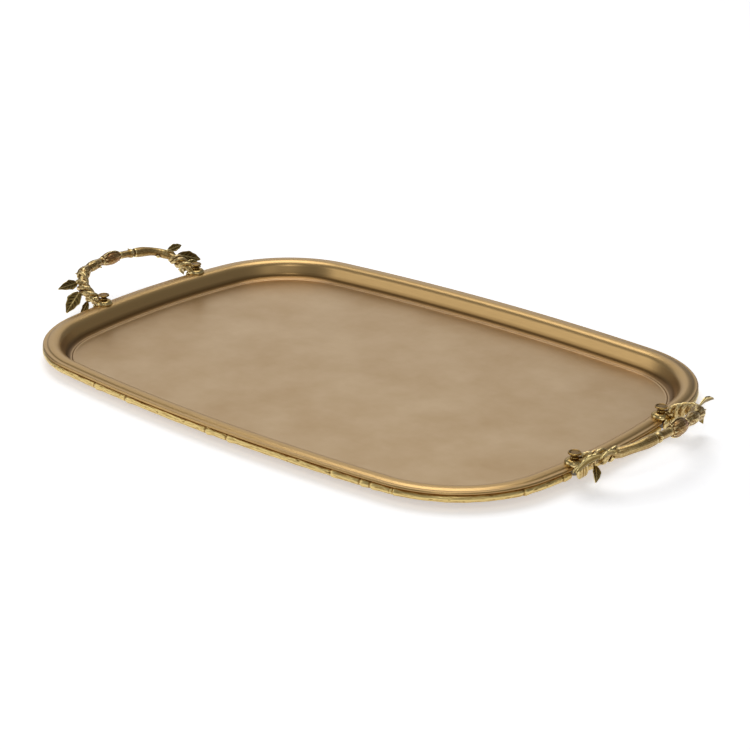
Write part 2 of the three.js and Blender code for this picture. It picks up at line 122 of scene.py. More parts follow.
class Recipe:
    """A node material in the making, with short words for the nodes that every finish uses."""

    def __init__(self, name: str) -> None:
        """Starts an empty material."""
        self.material = bpy.data.materials.new(name)
        self.material.use_nodes = True
        self.tree = self.material.node_tree
        self.tree.nodes.clear()

    @property
    def place(self) -> Socket:
        """The point in the tray's own frame, in metres."""
        return add_node(self.tree, "ShaderNodeTexCoord").outputs["Object"]

    @property
    def depth(self) -> Socket:
        """How deep the point lies under its surroundings, 0.5 being level."""
        return add_node(self.tree, "ShaderNodeAttribute", {"attribute_name": HOLLOW}).outputs["Fac"]

    def noise(self, size_mm: float, detail: float, rough: float = 0.5,
              vector: Socket | None = None) -> Socket:
        """Cloudy noise of a size in millimetres."""
        node = add_node(self.tree, "ShaderNodeTexNoise",
                        {"Scale": 1 / (size_mm * MM), "Detail": detail, "Roughness": rough},
                        {"Vector": vector or self.place})
        return node.outputs["Fac"]

    def span(self, value: Socket, low: float, high: float, to_low: float = 0.0,
             to_high: float = 1.0) -> Socket:
        """Maps a value from one range to another, held at its ends."""
        node = add_node(self.tree, "ShaderNodeMapRange",
                        {"From Min": low, "From Max": high, "To Min": to_low, "To Max": to_high},
                        {"Value": value})
        return node.outputs["Result"]

    def sum(self, operation: str, one: Socket, two: Socket) -> Socket:
        """Works out one operation on two values."""
        node = add_node(self.tree, "ShaderNodeMath", {"operation": operation}, {0: one, 1: two})
        return node.outputs["Value"]

    def blend(self, share: Socket, base: Socket | str, other: str) -> Socket:
        """Blends a colour over a base, both sRGB hex codes or the base a socket."""
        fixed = {"data_type": "RGBA", 7: linear(other)}
        links = {0: share}
        if isinstance(base, str):
            fixed[6] = linear(base)
        else:
            links[6] = base
        return add_node(self.tree, "ShaderNodeMix", fixed, links).outputs[2]

    def ramp(self, value: Socket, stops: list[tuple[float, str]]) -> Socket:
        """Turns a value into a colour between two stops."""
        node = add_node(self.tree, "ShaderNodeValToRGB", None, {"Fac": value})
        for element, (place, code) in zip(node.color_ramp.elements, stops):
            element.position = place
            element.color = linear(code)
        return node.outputs["Color"]

    def bump(self, height: Socket, strength: float, distance_mm: float) -> Socket:
        """Fine relief that is too small to model."""
        node = add_node(self.tree, "ShaderNodeBump",
                        {"Strength": strength, "Distance": distance_mm * MM}, {"Height": height})
        return node.outputs["Normal"]

    def finish(self, settings: dict, links: dict) -> bpy.types.Material:
        """Adds the shader and the output, and gives the material."""
        shader = add_node(self.tree, "ShaderNodeBsdfPrincipled", settings, links)
        add_node(self.tree, "ShaderNodeOutputMaterial", None, {"Surface": shader.outputs["BSDF"]})
        return self.material


# ---- Finishes -----------------------------------------------------------------------------


@dataclass(frozen=True)
class SatinSheetBrass:
    """Sheet brass, pressed, scoured and lacquered.

    The eye gets a soft, wide reflection with faint cloudy patches and fine scouring lines, a
    yellower tone where the lacquer is thick on the rim, and a dark brown painted shade in the
    cove, the crease and the groove inside the lip.
    """

    name: str = "lacquered_sheet_brass"
    light: str = "cdb18a"
    deep: str = "bd9d72"
    # colour of the painted shade in the cove, the crease and the groove inside the lip
    rim: str = "c2a06b"
    wash: str = "6a4a22"
    roughness: float = 0.33
    cloud_mm: float = 60.0
    scour_mm: float = 0.9      # real lines are a tenth of a millimetre: drawn coarser to show
    scour_stretch: tuple[float, float, float] = (0.05, 1.0, 1.0)
    rim_from_to: tuple[float, float] = (1.4, 4.0)       # heights where the rim's tone comes in
    cove_foot: tuple[float, float] = (1.35, 1.9)        # heights where the painted shade comes in
    cove_top: tuple[float, float] = (3.6, 7.0)          # heights where the painted shade goes out

    def make(self) -> bpy.types.Material:
        """Builds the material."""
        recipe = Recipe(self.name)
        tone = recipe.ramp(recipe.noise(self.cloud_mm, 4.0, 0.6),
                           [(0.3, self.deep), (0.7, self.light)])
        stretch = add_node(recipe.tree, "ShaderNodeMapping", {"Scale": self.scour_stretch},
                           {"Vector": recipe.place})
        scour = recipe.noise(self.scour_mm, 3.0, 0.7, stretch.outputs["Vector"])
        axes = add_node(recipe.tree, "ShaderNodeSeparateXYZ", None, {"Vector": recipe.place})
        height = axes.outputs["Z"]
        on_rim = recipe.span(height, *(h * MM for h in self.rim_from_to))
        # painted shade: darker brown up the cove by height, and in the crease and groove by the
        # hollow mark
        cove_shade = recipe.sum("MULTIPLY",
                            recipe.span(height, *(h * MM for h in self.cove_top), 0.85, 0.0),
                            recipe.span(height, *(h * MM for h in self.cove_foot)))
        hollow_shade = recipe.span(recipe.depth, 0.52, 0.9, 0.0, 0.8)
        colour = recipe.blend(recipe.sum("MAXIMUM", cove_shade, hollow_shade),
                              recipe.blend(on_rim, tone, self.rim), self.wash)
        rough = recipe.span(scour, 0.0, 1.0, self.roughness - 0.05, self.roughness + 0.07)
        return recipe.finish({"Metallic": 1.0}, {"Base Color": colour, "Roughness": rough,
                                                 "Normal": recipe.bump(scour, 0.12, 0.02)})


@dataclass(frozen=True)
class AntiqueCastBrass:
    """Cast brass, patinated dark and rubbed back by hand.

    The eye gets bright yellow metal on everything that stands proud, a brown skin over the
    middle, patches of a redder tone, and near-black patina in the recesses.
    """

    name: str
    proud: str = "ead49a"
    skin: str = "8f713d"
    blush: str = "8f6038"
    recess: str = "160e07"
    blush_share: float = 0.35
    roughness: float = 0.3
    patch_mm: float = 9.0
    grain_mm: float = 0.7      # casting grain, drawn three times its real size to show
    dark_from: float = 0.5
    dark_to: float = 0.72
    rubbed_from: float = 0.47
    rubbed_to: float = 0.28
    ragged: float = 0.11       # how far the grain breaks up the edges of the patina

    def make(self) -> bpy.types.Material:
        """Builds the material."""
        recipe = Recipe(self.name)
        grain = recipe.noise(self.grain_mm, 4.0, 0.65)
        patches = recipe.span(recipe.noise(self.patch_mm, 3.0), 0.45, 0.65, 0.0, self.blush_share)
        jitter = recipe.span(grain, 0.0, 1.0, -self.ragged, self.ragged)
        depth = recipe.sum("ADD", recipe.depth, jitter)
        skin = recipe.blend(patches, self.skin, self.blush)
        worn = recipe.blend(recipe.span(depth, self.rubbed_from, self.rubbed_to), skin, self.proud)
        dark = recipe.span(depth, self.dark_from, self.dark_to)
        colour = recipe.blend(dark, worn, self.recess)
        rough = recipe.span(depth, 0.3, 0.85, self.roughness, self.roughness + 0.35)
        return recipe.finish({"Metallic": 1.0}, {"Base Color": colour, "Roughness": rough,
                                                 "Normal": recipe.bump(grain, 0.35, 0.08)})


@dataclass(frozen=True)
class PlatedSteel:
    """Zinc-plated steel fixings, tumbled.

    The eye gets a dull, slightly brown grey with a fine crystal mottling of the aged plating.
    """

    name: str = "plated_steel"
    light: str = "8a8376"
    deep: str = "635d50"
    roughness: float = 0.42
    crystal_mm: float = 0.8

    def make(self) -> bpy.types.Material:
        """Builds the material."""
        recipe = Recipe(self.name)
        cells = add_node(recipe.tree, "ShaderNodeTexVoronoi",
                         {"Scale": 1 / (self.crystal_mm * MM)}, {"Vector": recipe.place})
        crystals = cells.outputs["Distance"]
        tone = recipe.ramp(crystals, [(0.1, self.light), (0.8, self.deep)])
        rough = recipe.span(crystals, 0.0, 1.0, self.roughness - 0.08, self.roughness + 0.1)
        return recipe.finish({"Metallic": 1.0}, {"Base Color": tone, "Roughness": rough})


@dataclass(frozen=True)
class PaintedBoard:
    """Matt white board under the tray. The eye gets an even pale ground with soft shadows."""

    name: str = "matt_white_board"
    colour: str = "f4f4f5"
    glow: float = 0.52

    def make(self) -> bpy.types.Material:
        """Builds the material."""
        colour = linear(self.colour)
        return Recipe(self.name).finish({
            "Base Color": colour, "Roughness": 0.9, "Specular IOR Level": 0.1,
            "Emission Color": colour, "Emission Strength": self.glow}, {})


@dataclass(frozen=True)
class Finishes:
    """One finish for each slot."""

    pan: SatinSheetBrass = SatinSheetBrass()
    border: AntiqueCastBrass = AntiqueCastBrass(
        "cast_twig_brass", proud="e0c684", skin="b8975a", blush="ac8a4e", recess="634a22",
        roughness=0.34, patch_mm=26.0, dark_from=0.54, dark_to=0.95)
    branch: AntiqueCastBrass = AntiqueCastBrass("antique_branch_brass")
    pod: AntiqueCastBrass = AntiqueCastBrass(
        "copper_washed_pod_brass", skin="937043", blush="935a38", blush_share=0.8)
    vine: AntiqueCastBrass = AntiqueCastBrass(
        "antique_vine_brass", skin="96773f", blush="9c643a", blush_share=0.5)
    leaf: AntiqueCastBrass = AntiqueCastBrass(
        "antique_leaf_brass", proud="e2cb8c", skin="84703f", blush="6e5230", recess="1c1409",
        dark_from=0.55, dark_to=0.92)
    boss: AntiqueCastBrass = AntiqueCastBrass(
        "polished_boss_brass", skin="a3823f", blush="8f6a36", roughness=0.18)
    stud: AntiqueCastBrass = AntiqueCastBrass(
        "turned_stud_brass", proud="d2b06a", skin="8f6f38", blush="7e6138", roughness=0.2,
        grain_mm=0.5)
    fixing: PlatedSteel = PlatedSteel()


# ---- Meshes -------------------------------------------------------------------------------


def put(name: str, data: bpy.types.ID) -> bpy.types.Object:
    """Adds an object with that data to the scene."""
    thing = bpy.data.objects.new(name, data)
    bpy.context.scene.collection.objects.link(thing)
    return thing


def baked(thing: bpy.types.Object) -> bpy.types.Mesh:
    """The object's mesh with its modifiers applied, smooth. The object is removed."""
    graph = bpy.context.evaluated_depsgraph_get()
    data = bpy.data.meshes.new_from_object(thing.evaluated_get(graph))
    bpy.data.objects.remove(thing)
    data.shade_smooth()
    return data


def bell(value: float, centre: float, width: float) -> float:
    """A smooth hump of height 1 round a centre, gone at about twice its width."""
    return math.exp(-((value - centre) / width) ** 2)


class Shell:
    """Points in millimetres and faces of a mesh in the making."""

    def __init__(self) -> None:
        """Starts empty."""
        self.points: list[Vector] = []
        self.faces: list[tuple[int, ...]] = []

    def loft(self, rings: list[list[Vector]]) -> None:
        """Skins rings of equal point count, and closes both ends with a fan.

        Args:
            rings: rings in order, each running round the same way.
        """
        first = len(self.points)
        count = len(rings[0])
        for ring in rings:
            self.points.extend(ring)
        for row in range(len(rings) - 1):
            for i in range(count):
                a = first + row * count + i
                b = first + row * count + (i + 1) % count
                self.faces.append((a, b, b + count, a + count))
        for ring, start, backwards in ((rings[0], first, True),
                                       (rings[-1], first + (len(rings) - 1) * count, False)):
            hub = len(self.points)
            self.points.append(sum(ring, Vector()) / count)
            for i in range(count):
                edge = (start + i, start + (i + 1) % count)
                self.faces.append((hub, edge[1], edge[0]) if backwards else (hub, *edge))

    def tube(self, line: list[Vector], radii: list[float], sides: int = 14) -> None:
        """Sweeps a round bar along a line.

        Args:
            line: centre points.
            radii: radius at each point.
            sides: points round the bar.
        """
        rings = []
        side = None
        for i, centre in enumerate(line):
            along = (line[min(i + 1, len(line) - 1)] - line[max(i - 1, 0)]).normalized()
            side = along.orthogonal() if side is None else side - along * side.dot(along)
            side.normalize()
            other = along.cross(side)
            rings.append([centre + (side * math.cos(t) + other * math.sin(t)) * radii[i]
                          for t in (2 * math.pi * k / sides for k in range(sides))])
        self.loft(rings)

    def thorn(self, base: Vector, tip: Vector, radius: float) -> None:
        """A pointed spur from a base to a tip, slightly bowed by its own taper."""
        shares = [i / 6 for i in range(7)]
        self.tube([base.lerp(tip, t) for t in shares],
                  [radius * (1 - t) ** 0.8 + 0.22 for t in shares], 10)

    def ball(self, centre: Vector, radii: Vector, sides: int = 20) -> None:
        """A ball with its own radius along each axis."""
        rings = []
        for k in range(1, sides // 2):
            rise = -math.pi / 2 + math.pi * k / (sides // 2)
            rings.append([centre + Vector((radii.x * math.cos(rise) * math.cos(t),
                                           radii.y * math.cos(rise) * math.sin(t),
                                           radii.z * math.sin(rise)))
                          for t in (2 * math.pi * i / sides for i in range(sides))])
        self.loft(rings)

    def mesh(self, name: str) -> bpy.types.Mesh:
        """The shell as a smooth Blender mesh in metres."""
        data = bpy.data.meshes.new(name)
        data.from_pydata([p * MM for p in self.points], [], self.faces)
        data.shade_smooth()
        data.update()
        return data


@dataclass(frozen=True)
class Grain:
    """Relief of a casting: broad waves and fine grain, which can be drawn out along the grip."""

    wave: float
    wave_size: tuple[float, float, float]
    fine: float
    fine_size: float = 0.9

    def height(self, point: Vector) -> float:
        """Height of the relief at a point of the skin, in millimetres."""
        spot = Vector([p / size for p, size in zip(point, self.wave_size)])
        return self.wave * noise.noise(spot) + self.fine * noise.noise(point / self.fine_size)


BARK = Grain(0.36, (1.9, 4.2, 1.9), 0.12, 0.95)
SKIN = Grain(0.16, (2.4, 2.4, 2.4), 0.08)
RUBBED = Grain(0.06, (2.6, 2.6, 2.6), 0.02)


@dataclass
class Sculptor:
    """Turns overlapping shells into one cast skin, carves it and marks its recesses."""

    voxel: float = 0.34
    smoothing: int = 3
    reach: float = 0.24        # depth that counts as a full recess
    spread: int = 14           # how many neighbours away the surroundings reach

    def fuse(self, data: bpy.types.Mesh) -> bpy.types.Mesh:
        """Melts overlapping closed shells into one skin.

        Args:
            data: mesh of the shells.

        Returns:
            A new mesh of evenly small faces.
        """
        holder = put("casting", data)
        remesh = holder.modifiers.new("skin", "REMESH")
        remesh.mode = "VOXEL"
        remesh.voxel_size = self.voxel * MM
        smooth = holder.modifiers.new("soften", "SMOOTH")
        smooth.iterations = self.smoothing
        return baked(holder)

    def carve(self, data: bpy.types.Mesh, grain: Grain) -> None:
        """Moves each point of a mesh along its normal by the height of a grain."""
        moved = [(v.co / MM + v.normal * grain.height(v.co / MM)) * MM for v in data.vertices]
        data.vertices.foreach_set("co", np.array(moved, np.float32).ravel())
        data.update()

    def mark(self, data: bpy.types.Mesh, extra: np.ndarray | None = None) -> None:
        """Stores how deep each point lies under its surroundings, 0.5 being level.

        Args:
            data: mesh that gets the attribute.
            extra: added recess of each point, or none.
        """
        count = len(data.vertices)
        points = np.empty(count * 3)
        data.vertices.foreach_get("co", points)
        points = points.reshape(-1, 3)
        normals = np.array([v.normal for v in data.vertices])
        ends = np.empty(len(data.edges) * 2, int)
        data.edges.foreach_get("vertices", ends)
        one, two = ends.reshape(-1, 2).T
        valence = np.bincount(one, minlength=count) + np.bincount(two, minlength=count)
        around = points.copy()
        for _ in range(self.spread):
            mean = np.stack([np.bincount(one, around[two, k], count)
                             + np.bincount(two, around[one, k], count)
                             for k in range(3)], 1) / np.maximum(valence, 1)[:, None]
            around = 0.5 * (around + mean)
        depth = ((around - points) * normals).sum(1) / MM
        value = 0.5 + 0.5 * depth / self.reach
        if extra is not None:
            value = value + extra
        attribute = data.attributes.new(HOLLOW, "FLOAT", "POINT")
        attribute.data.foreach_set("value", np.clip(value, 0, 1).astype(np.float32))


class Workshop:
    """Places finished meshes as pieces on the frame."""

    def __init__(self, finishes: Finishes) -> None:
        """Makes one material for each slot."""
        self.materials = {slot: getattr(finishes, slot.value).make() for slot in Slot}

    def piece(self, name: str, data: bpy.types.Mesh, slot: Slot, node: str) -> bpy.types.Object:
        """Adds a mesh as a piece that stands for a node.

        Args:
            name: piece's name.
            data: its mesh, in the tray's frame.
            slot: its slot.
            node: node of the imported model.

        Returns:
            The new object.
        """
        thing = put(name, data)
        data.materials.clear()
        data.materials.append(self.materials[slot])
        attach(thing, ROOT)
        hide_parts(node)
        LOG.info("%s: %d faces", name, len(data.polygons))
        return thing

    def repaint(self, node: str, slot: Slot) -> None:
        """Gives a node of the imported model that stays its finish."""
        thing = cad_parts[node]
        thing.data.materials.clear()
        thing.data.materials.append(self.materials[slot])
        LOG.info("%s: repainted", node)


def centre_of(node: str) -> Vector:
    """Middle of a node's box, in millimetres."""
    low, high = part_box(node)
    return (low + high) / 2 / MM


# ---- Plan outline and rim section ---------------------------------------------------------


@dataclass
class Outline:
    """Plan of the pan: four bowed sides joined by four tangent corner arcs."""

    length: float
    width: float
    corner_radius: float = 94.0
    long_radius: float = 1650.0
    short_radius: float = 592.0
    arcs: list[tuple[Vector, float, float, float]] = field(default_factory=list)

    def __post_init__(self) -> None:
        """Works out the three arcs of a quarter, from the +Y side to the +X side."""
        long_centre = Vector((0, self.width / 2 - self.long_radius))
        short_centre = Vector((self.length / 2 - self.short_radius, 0))
        from_long = self.long_radius - self.corner_radius
        from_short = self.short_radius - self.corner_radius
        between = short_centre - long_centre
        span = between.length
        along = (from_long ** 2 - from_short ** 2 + span ** 2) / (2 * span)
        across = math.sqrt(from_long ** 2 - along ** 2)
        unit = between / span
        corner = long_centre + unit * along + Vector((unit.y, -unit.x)) * across
        first = math.atan2(*(corner - long_centre).yx)
        second = math.atan2(*(corner - short_centre).yx)
        self.arcs = [(long_centre, self.long_radius, math.pi / 2, first),
                     (corner, self.corner_radius, first, second),
                     (short_centre, self.short_radius, second, 0.0)]

    @property
    def arc_lengths(self) -> list[float]:
        """Lengths of a quarter's arcs."""
        return [radius * (start - end) for _, radius, start, end in self.arcs]

    @property
    def quarter(self) -> float:
        """Length of a quarter of the edge."""
        return sum(self.arc_lengths)

    def point(self, distance: float, inset: float) -> Vector:
        """A point of the plan.

        Args:
            distance: clockwise round the edge from the middle of the +Y side.
            inset: in from the edge.

        Returns:
            Its x and y.
        """
        wrapped = distance % (4 * self.quarter)
        part = min(3, int(wrapped // self.quarter))
        rest = wrapped - part * self.quarter
        rest = self.quarter - rest if part % 2 else rest
        index = 0
        while index < 2 and rest > self.arc_lengths[index]:
            rest -= self.arc_lengths[index]
            index += 1
        centre, radius, start, _ = self.arcs[index]
        angle = start - rest / radius
        x = centre.x + (radius - inset) * math.cos(angle)
        y = centre.y + (radius - inset) * math.sin(angle)
        return Vector((x if part < 2 else -x, y if part in (0, 3) else -y))

    def ring(self, count: int, inset: float, height: float) -> list[Vector]:
        """Evenly spaced points round the plan at an inset and a height."""
        whole = 4 * self.quarter
        return [self.point(whole * i / count, inset).to_3d() + Vector((0, 0, height))
                for i in range(count)]


@dataclass
class Rim:
    """Section of the pan's edge, from the crease round the cove and over the flange."""

    sheet: float = 1.2
    width: float = 23.4
    rise: float = 14.8
    crown_inset: float = 8.0
    edge_drop: float = 2.0
    inner_crown_radius: float = 8.0
    wall_angle: float = 68.0
    crease_angle: float = 8.0
    lip_height: float = 0.6        # rolled lip along the very edge
    lip_width: float = 0.75
    lip_inset: float = 0.8
    groove_depth: float = 0.28     # groove inside the lip
    groove_inset: float = 3.1
    ridge_height: float = 0.38     # fine ridge where the press pinches the floor
    ridge_width: float = 0.6

    @property
    def crown(self) -> float:
        """Height of the flange's crown."""
        return self.sheet + self.rise

    @property
    def outer_angle(self) -> float:
        """Slope of the flange at its edge, in radians."""
        return 2 * math.atan(self.edge_drop / self.crown_inset)

    def cove_radius(self) -> float:
        """Radius of the cove, which follows from the rim's width and rise."""
        wall = math.radians(self.wall_angle)
        crease = math.radians(self.crease_angle)
        width = self.width - self.crown_inset - self.inner_crown_radius * math.sin(wall)
        rise = self.rise - self.inner_crown_radius * (1 - math.cos(wall))
        across = math.sin(wall) - math.sin(crease)
        up = math.cos(crease) - math.cos(wall)
        det = math.cos(wall) * up - math.sin(wall) * across
        return (rise * math.cos(wall) - width * math.sin(wall)) / det

    def relief(self, inset: float) -> float:
        """Height of the lip, groove and ridge at an inset."""
        lip = self.lip_height * bell(inset, self.lip_inset, self.lip_width)
        groove = self.groove_depth * bell(inset, self.groove_inset, 1.2 * self.lip_width)
        ridge = self.ridge_height * bell(inset, self.width + 0.2, self.ridge_width)
        return lip - groove + ridge

    def section(self, offset: float, carved: bool) -> list[tuple[float, float]]:
        """Points from the crease to the edge, moved along the surface's normal.

        Args:
            offset: distance out of the metal.
            carved: whether the lip, groove and ridge are added.

        Returns:
            Inset and height of each point.
        """
        wall = math.radians(self.wall_angle)
        crease = math.radians(self.crease_angle)
        cove = self.cove_radius()
        plain = []
        for i in range(7):
            plain.append((self.width + 2.1 - 0.35 * i, self.sheet, 0.0))
        for i in range(15):
            slope = crease + (wall - crease) * i / 14
            plain.append((self.width - cove * (math.sin(slope) - math.sin(crease)),
                          self.sheet + cove * (math.cos(crease) - math.cos(slope)), slope))
        for i in range(16):
            slope = wall * (1 - i / 15)
            plain.append((self.crown_inset + self.inner_crown_radius * math.sin(slope),
                          self.crown - self.inner_crown_radius * (1 - math.cos(slope)), slope))
        outer = self.crown_inset / math.sin(self.outer_angle)
        for i in range(1, 25):
            slope = -self.outer_angle * i / 24
            plain.append((self.crown_inset + outer * math.sin(slope),
                          self.crown - outer * (1 - math.cos(slope)), slope))
        points = []
        for inset, height, slope in plain:
            out = offset + (self.relief(inset) if carved else 0.0)
            points.append((inset + out * math.sin(slope), height + out * math.cos(slope)))
        return points


# ---- Pan ----------------------------------------------------------------------------------


@dataclass
class Pan:
    """The pressed sheet: flat floor, ridge, cove, crowned flange and rolled lip."""

    outline: Outline
    rim: Rim
    around: int = 560
    floor_rings: int = 44
    floor_wave: float = 0.09     # hand-flattened floor, high and low by this much
    wave_length: float = 75.0
    hole_radius: float = 2.3

    def floor_point(self, edge: Vector, share: float, level: float, waved: bool) -> Vector:
        """A point of the floor between the rim (share 0) and the centre (share 1)."""
        spot = edge.lerp(Vector((0, 0, level)), share)
        wave = noise.noise(spot / self.wave_length) * self.floor_wave * min(1.0, share * 12)
        return Vector((spot.x, spot.y, level + (wave if waved else 0.0)))

    def shell(self) -> Shell:
        """The whole sheet as one closed shell."""
        top = self.rim.section(0.0, True)
        bottom = self.rim.section(-self.rim.sheet, False)
        edge = []
        (inset, height), (low_inset, low_height) = top[-1], bottom[-1]
        for i in range(1, 6):
            turn = math.pi * i / 6
            middle = ((inset + low_inset) / 2, (height + low_height) / 2)
            half = (math.cos(turn) * (height - middle[1]), math.cos(turn) * (inset - middle[0]))
            edge.append((middle[0] + half[1] - 0.45 * math.sin(turn), middle[1] + half[0]))
        rings = []
        floor_edge = self.outline.ring(self.around, *top[0])
        for k in range(self.floor_rings - 1, 0, -1):
            share = (k / self.floor_rings) ** 1.1
            rings.append([self.floor_point(p, share, self.rim.sheet, True) for p in floor_edge])
        for inset, height in [*top, *edge, *bottom[::-1]]:
            rings.append(self.outline.ring(self.around, inset, height))
        under = rings[-1]
        for k in range(1, self.floor_rings, 4):
            rings.append([self.floor_point(p, k / self.floor_rings, 0.0, False) for p in under])
        shell = Shell()
        shell.loft(rings)
        return shell

    def build(self, workshop: Workshop) -> None:
        """Builds the pan and drills it for the studs."""
        holder = put("sheet", self.shell().mesh("pan"))
        drills = Shell()
        for stud in STUD_NODES:
            centre = centre_of(stud)
            line = [Vector((centre.x, centre.y, h)) for h in (8.0, 19.0)]
            drills.tube(line, [self.hole_radius] * 2, 24)
        cutter = put("drills", drills.mesh("drills"))
        cut = holder.modifiers.new("holes", "BOOLEAN")
        cut.object = cutter
        cut.operation = "DIFFERENCE"
        drilled = baked(holder)
        bpy.data.objects.remove(cutter)
        # marks the sheet's hollows, which its finish darkens as painted shade
        Sculptor(reach=0.5, spread=5).mark(drilled)
        workshop.piece("pressed_pan", drilled, Slot.PAN, "tray_pan")


STUD_NODES = [f"cap_stud_{side.word}_{end}" for side in Side for end in "ab"]


# ---- Border -------------------------------------------------------------------------------


@dataclass
class TwigBorder:
    """Cast twigs under the flange's edge, with knuckles, bark and pits."""

    outline: Outline
    rim: Rim
    level: float
    radius: float = 2.6
    proud: float = 0.6
    skin: float = 0.15             # casting skin over the plain bar
    gap: float = 0.3
    joint_past_corner: float = 8.0
    lug_half_width: float = 6.6
    step: float = 0.8
    sides: int = 30
    side_knots: tuple[float, ...] = (126, 87, -4, -26, -126, -152, -161, -178)
    end_knots: tuple[float, ...] = (110, 73)

    def knots(self) -> list[float]:
        """Distances round the edge of all the knuckles."""
        quarter = self.outline.quarter
        spots = []
        for half in (0, 1):
            spots += [2 * quarter * half + k for k in self.side_knots]
            spots += [quarter + 2 * quarter * half + k for k in self.end_knots]
        return spots

    def swell(self, distance: float) -> float:
        """Growth of the twig near its knuckles: slow before each and sharp after it."""
        whole = 4 * self.outline.quarter
        total = 0.0
        for knot in self.knots():
            away = (distance - knot + whole / 2) % whole - whole / 2
            total += 0.55 * bell(away, 0.0, 4.5 if away < 0 else 1.3)
            total -= 0.3 * bell(away, 2.4, 0.8)
        return total

    def twig(self, start: float, end: float) -> Shell:
        """One length of twig between two distances round the edge."""
        count = int((end - start) / self.step)
        inset = self.radius - self.proud
        rings = []
        for i in range(count + 1):
            distance = start + (end - start) * i / count
            centre = self.outline.point(distance, inset)
            ahead = (self.outline.point(distance + 0.5, inset)
                     - self.outline.point(distance - 0.5, inset)).normalized()
            outward = Vector((-ahead.y, ahead.x, 0))
            near_end = min(distance - start, end - distance)
            rounding = 0.9 * max(0.0, 1 - near_end / 1.2) ** 2
            base = self.radius + self.skin + self.swell(distance) - rounding
            ring = []
            for k in range(self.sides):
                turn = 2 * math.pi * k / self.sides
                across, up = math.cos(turn), math.sin(turn)
                way = outward * across + Vector((0, 0, up))
                bark = noise.noise(Vector((distance / 9, across * 1.9, up * 1.9)))
                fine = noise.noise(Vector((distance / 2.6, across * 4, up * 4)))
                pit = noise.noise(Vector((distance / 5 + 40, way.x * 2, way.z * 2))) - 0.45
                reach = base + 0.28 * bark + 0.1 * fine - 1.6 * max(0.0, pit)
                ring.append(centre.to_3d() + Vector((0, 0, self.level)) + way * reach)
            rings.append(ring)
        shell = Shell()
        shell.loft(rings)
        return shell

    def build(self, workshop: Workshop) -> None:
        """Builds the eight lengths."""
        quarter = self.outline.quarter
        joint = self.outline.arc_lengths[0] + self.joint_past_corner
        lug = self.lug_half_width + self.gap
        near = quarter - centre_of("cap_stud_right_a").y
        far = quarter + centre_of("cap_stud_right_b").y
        half = self.gap / 2
        for start, side, across, other in ((0.0, "back", "right", "left"),
                                           (2 * quarter, "front", "left", "right")):
            lengths = {
                f"border_{side}": (start - joint + half, start + joint - half),
                f"border_corner_{side}_{across}": (start + joint + half, start + near - lug),
                f"border_corner_{side}_{other}": (start - far + lug, start - joint - half),
                f"border_{across}": (start + near + lug, start + 2 * quarter - far - lug),
            }
            for node, (first, last) in lengths.items():
                data = self.twig(first, last).mesh(node)
                Sculptor(reach=0.3, spread=8).mark(data)
                workshop.piece(f"cast_{node}", data, Slot.BORDER, node)


# ---- Handle -------------------------------------------------------------------------------


@dataclass
class Station:
    """A place along the arch with its three directions."""

    centre: Vector
    along: Vector
    out: Vector
    up: Vector

    def way(self, turn: float) -> Vector:
        """Direction square to the arch, at a turn round it from its outer side."""
        return self.out * math.cos(turn) + self.up * math.sin(turn)


@dataclass
class Arch:
    """The arch of a handle on the +X side, in its own tilted plane."""

    foot_x: float
    middle: float
    half_span: float
    boss_z: float
    reach: float = 48.0
    tilt: float = 23.0
    shares: tuple[tuple[float, float], ...] = (
        (1.03, 0.03), (1.1, 0.25), (1.03, 0.58), (0.79, 0.87), (0.42, 0.995), (0.01, 1.02),
        (-0.4, 0.955), (-0.69, 0.84), (-0.86, 0.61), (-0.93, 0.32), (-0.96, 0.04))
    line: list[Vector] = field(default_factory=list)
    marks: list[float] = field(default_factory=list)

    def __post_init__(self) -> None:
        """Works out a dense line through the arch's points."""
        knots = [self.point(u * self.half_span, s * self.reach, 0.0) for u, s in self.shares]
        padded = [2 * knots[0] - knots[1], *knots, 2 * knots[-1] - knots[-2]]
        for a, b, c, d in zip(padded, padded[1:], padded[2:], padded[3:]):
            for i in range(24):
                t = i / 24
                self.line.append(0.5 * ((2 * b) + (c - a) * t + (2 * a - 5 * b + 4 * c - d) * t * t
                                        + (3 * b - a - 3 * c + d) * t ** 3))
        self.line.append(knots[-1])
        self.marks = [0.0]
        for a, b in zip(self.line, self.line[1:]):
            self.marks.append(self.marks[-1] + (b - a).length)

    @property
    def length(self) -> float:
        """Length of the arch's line."""
        return self.marks[-1]

    def shift(self, u: float, s: float, n: float) -> Vector:
        """A step along the edge, out in the arch's plane and square to that plane."""
        lean = math.radians(self.tilt)
        return Vector((s * math.cos(lean) - n * math.sin(lean), u,
                       s * math.sin(lean) + n * math.cos(lean)))

    def point(self, u: float, s: float, n: float) -> Vector:
        """A point of the arch's frame in the tray's frame."""
        return Vector((self.foot_x, self.middle, self.boss_z)) + self.shift(u, s, n)

    def at(self, distance: float) -> Station:
        """The place at a distance from the +Y end, or from the -Y end where it is negative."""
        target = distance if distance >= 0 else self.length + distance
        target = min(max(target, 0.0), self.length)
        index = min(int(np.searchsorted(self.marks, target)), len(self.line) - 1)
        index = max(index, 1)
        before, after = self.marks[index - 1], self.marks[index]
        share = (target - before) / max(after - before, 1e-9)
        centre = self.line[index - 1].lerp(self.line[index], share)
        low, high = max(index - 3, 0), min(index + 3, len(self.line) - 1)
        along = (self.line[high] - self.line[low]).normalized()
        up = self.shift(0, 0, 1)
        return Station(centre, along, along.cross(up).normalized(), up)


